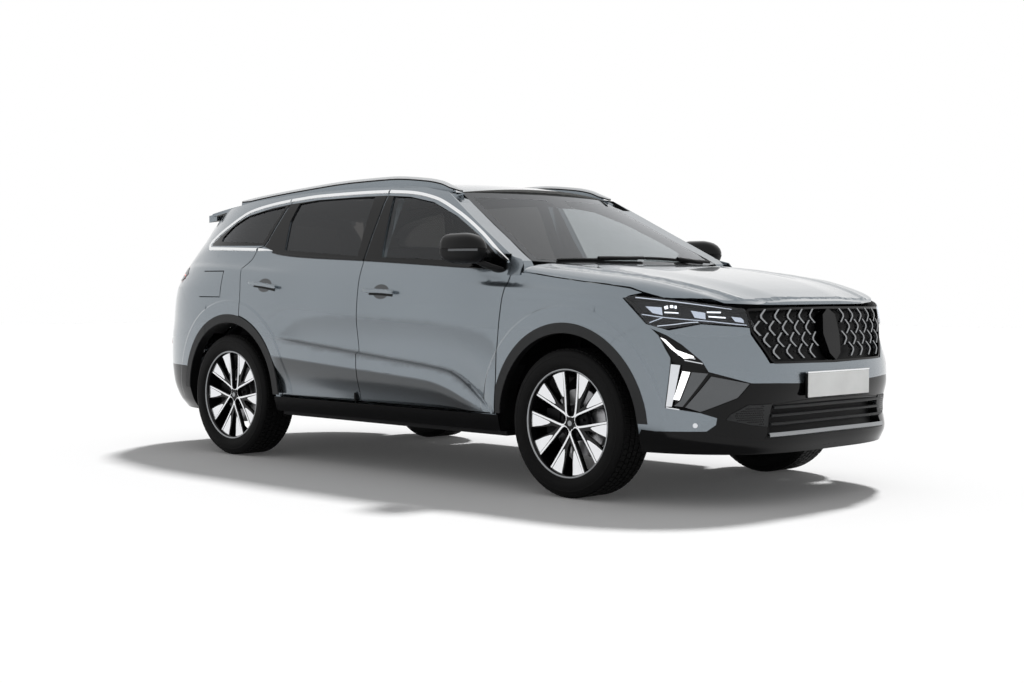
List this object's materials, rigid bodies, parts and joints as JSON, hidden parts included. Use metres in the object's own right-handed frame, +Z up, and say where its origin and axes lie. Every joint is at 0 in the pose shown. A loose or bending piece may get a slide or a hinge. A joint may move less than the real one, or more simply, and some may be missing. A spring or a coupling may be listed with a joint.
{
  "type": "suv",
  "caption": "Three-row SUV with opening doors, bonnet and tailgate, steered front wheels and a full cabin.",
  "frame": {"origin": "On the ground, midway along and across.", "axes": "+X to the nose, +Y to the car's left, +Z up."},
  "size_m": [4.7262, 2.0832, 1.6279],
  "materials": {
    "body_paint": "metallic gloss",
    "clear_glass": "clear",
    "dark_glass": "privacy tint",
    "black_plastic": "matt",
    "gloss_black": "gloss",
    "grey_plastic": "matt",
    "lamp_clear": "clear",
    "lamp_red": "gloss",
    "engine_metal": "rough",
    "radiator_metal": "matt",
    "dark_steel": "matt",
    "seat_cloth": "woven",
    "alloy": "machined",
    "tyre_rubber": "rubber",
    "disc_iron": "ground"
  },
  "bodies": {
    "body": {"body_sides": "body_paint", "floor_pan": "dark_steel", "roof": "body_paint", "front_fenders": "body_paint", "front_bumper": "body_paint", "rear_bumper": "body_paint", "grille": "black_plastic", "windshield": "clear_glass", "quarter_glasses": "dark_glass", "headlamps": "lamp_clear", "tail_lamps": "lamp_red", "roof_rails": "gloss_black", "arch_cladding": "grey_plastic", "sills": "gloss_black", "cowl": "black_plastic", "engine": "engine_metal", "radiator": "radiator_metal", "dashboard": "black_plastic", "front_seats": "seat_cloth", "rear_seats": "seat_cloth", "third_row_seats": "seat_cloth", "front_subframe": "dark_steel", "rear_axle": "dark_steel", "plate_holder": "black_plastic"},
    "front_left_door_body": {"front_left_door": "body_paint", "front_left_glass": "clear_glass", "left_mirror": "gloss_black"},
    "front_right_door_body": {"front_right_door": "body_paint", "front_right_glass": "clear_glass", "right_mirror": "gloss_black"},
    "rear_left_door_body": {"rear_left_door": "body_paint", "rear_left_glass": "dark_glass"},
    "rear_right_door_body": {"rear_right_door": "body_paint", "rear_right_glass": "dark_glass"},
    "hood_body": {"hood": "body_paint"},
    "tailgate_body": {"tailgate": "body_paint", "tailgate_glass": "dark_glass", "tailgate_lamps": "lamp_red"},
    "fuel_flap_body": {"fuel_flap": "body_paint"},
    "steering_wheel_body": {"steering_wheel": "black_plastic"},
    "left_knuckle_body": {"left_knuckle": "dark_steel"},
    "right_knuckle_body": {"right_knuckle": "dark_steel"},
    "front_left_wheel": {"front_left_rim": "alloy", "front_left_tyre": "tyre_rubber", "front_left_brake_disc": "disc_iron"},
    "front_right_wheel": {"front_right_rim": "alloy", "front_right_tyre": "tyre_rubber", "front_right_brake_disc": "disc_iron"},
    "rear_left_wheel": {"rear_left_rim": "alloy", "rear_left_tyre": "tyre_rubber", "rear_left_brake_disc": "disc_iron"},
    "rear_right_wheel": {"rear_right_rim": "alloy", "rear_right_tyre": "tyre_rubber", "rear_right_brake_disc": "disc_iron"}
  },
  "joints": [
    {"name": "front_left_door_hinge", "type": "hinge", "parent": "body", "child": "front_left_door_body", "pos_m": [0.915, 0.882, 0.76], "axis": [0, 0, -1], "range_deg": [0, 68]},
    {"name": "front_right_door_hinge", "type": "hinge", "parent": "body", "child": "front_right_door_body", "pos_m": [0.915, -0.882, 0.76], "axis": [0, 0, 1], "range_deg": [0, 68]},
    {"name": "rear_left_door_hinge", "type": "hinge", "parent": "body", "child": "rear_left_door_body", "pos_m": [-0.165, 0.882, 0.76], "axis": [0, 0, -1], "range_deg": [0, 70]},
    {"name": "rear_right_door_hinge", "type": "hinge", "parent": "body", "child": "rear_right_door_body", "pos_m": [-0.165, -0.882, 0.76], "axis": [0, 0, 1], "range_deg": [0, 70]},
    {"name": "hood_hinge", "type": "hinge", "parent": "body", "child": "hood_body", "pos_m": [1.105, 0, 1.093], "axis": [0, -1, 0], "range_deg": [0, 50]},
    {"name": "tailgate_hinge", "type": "hinge", "parent": "body", "child": "tailgate_body", "pos_m": [-1.84, 0, 1.478], "axis": [0, 1, 0], "range_deg": [0, 75]},
    {"name": "fuel_flap_hinge", "type": "hinge", "parent": "body", "child": "fuel_flap_body", "pos_m": [-1.42, -0.89307, 1.025], "axis": [0, 0, 1], "range_deg": [0, 100]},
    {"name": "steer_left", "type": "hinge", "parent": "body", "child": "left_knuckle_body", "pos_m": [1.421, 0.742, 0.222], "axis": [0, -0.2134, 0.977], "range_deg": [-33, 33]},
    {"name": "steer_right", "type": "hinge", "parent": "body", "child": "right_knuckle_body", "pos_m": [1.421, -0.742, 0.222], "axis": [0, 0.2134, 0.977], "range_deg": [-33, 33]},
    {"name": "steering_wheel_turn", "type": "hinge", "parent": "body", "child": "steering_wheel_body", "pos_m": [0.52, 0.37, 0.93], "axis": [-0.9135, 0, 0.4067], "range_deg": [-470, 470]},
    {"name": "front_left_wheel_spin", "type": "hinge", "parent": "left_knuckle_body", "child": "front_left_wheel", "pos_m": [1.421, 0.7875, 0.36], "axis": [0, 1, 0], "continuous": true},
    {"name": "front_right_wheel_spin", "type": "hinge", "parent": "right_knuckle_body", "child": "front_right_wheel", "pos_m": [1.421, -0.7875, 0.36], "axis": [0, 1, 0], "continuous": true},
    {"name": "rear_left_wheel_spin", "type": "hinge", "parent": "body", "child": "rear_left_wheel", "pos_m": [-1.317, 0.7875, 0.36], "axis": [0, 1, 0], "continuous": true},
    {"name": "rear_right_wheel_spin", "type": "hinge", "parent": "body", "child": "rear_right_wheel", "pos_m": [-1.317, -0.7875, 0.36], "axis": [0, 1, 0], "continuous": true}
  ],
  "couplings": [
    {"joint": "steer_right", "follows": "steer_left", "ratio": 1},
    {"joint": "steering_wheel_turn", "follows": "steer_left", "ratio": 14}
  ]
}
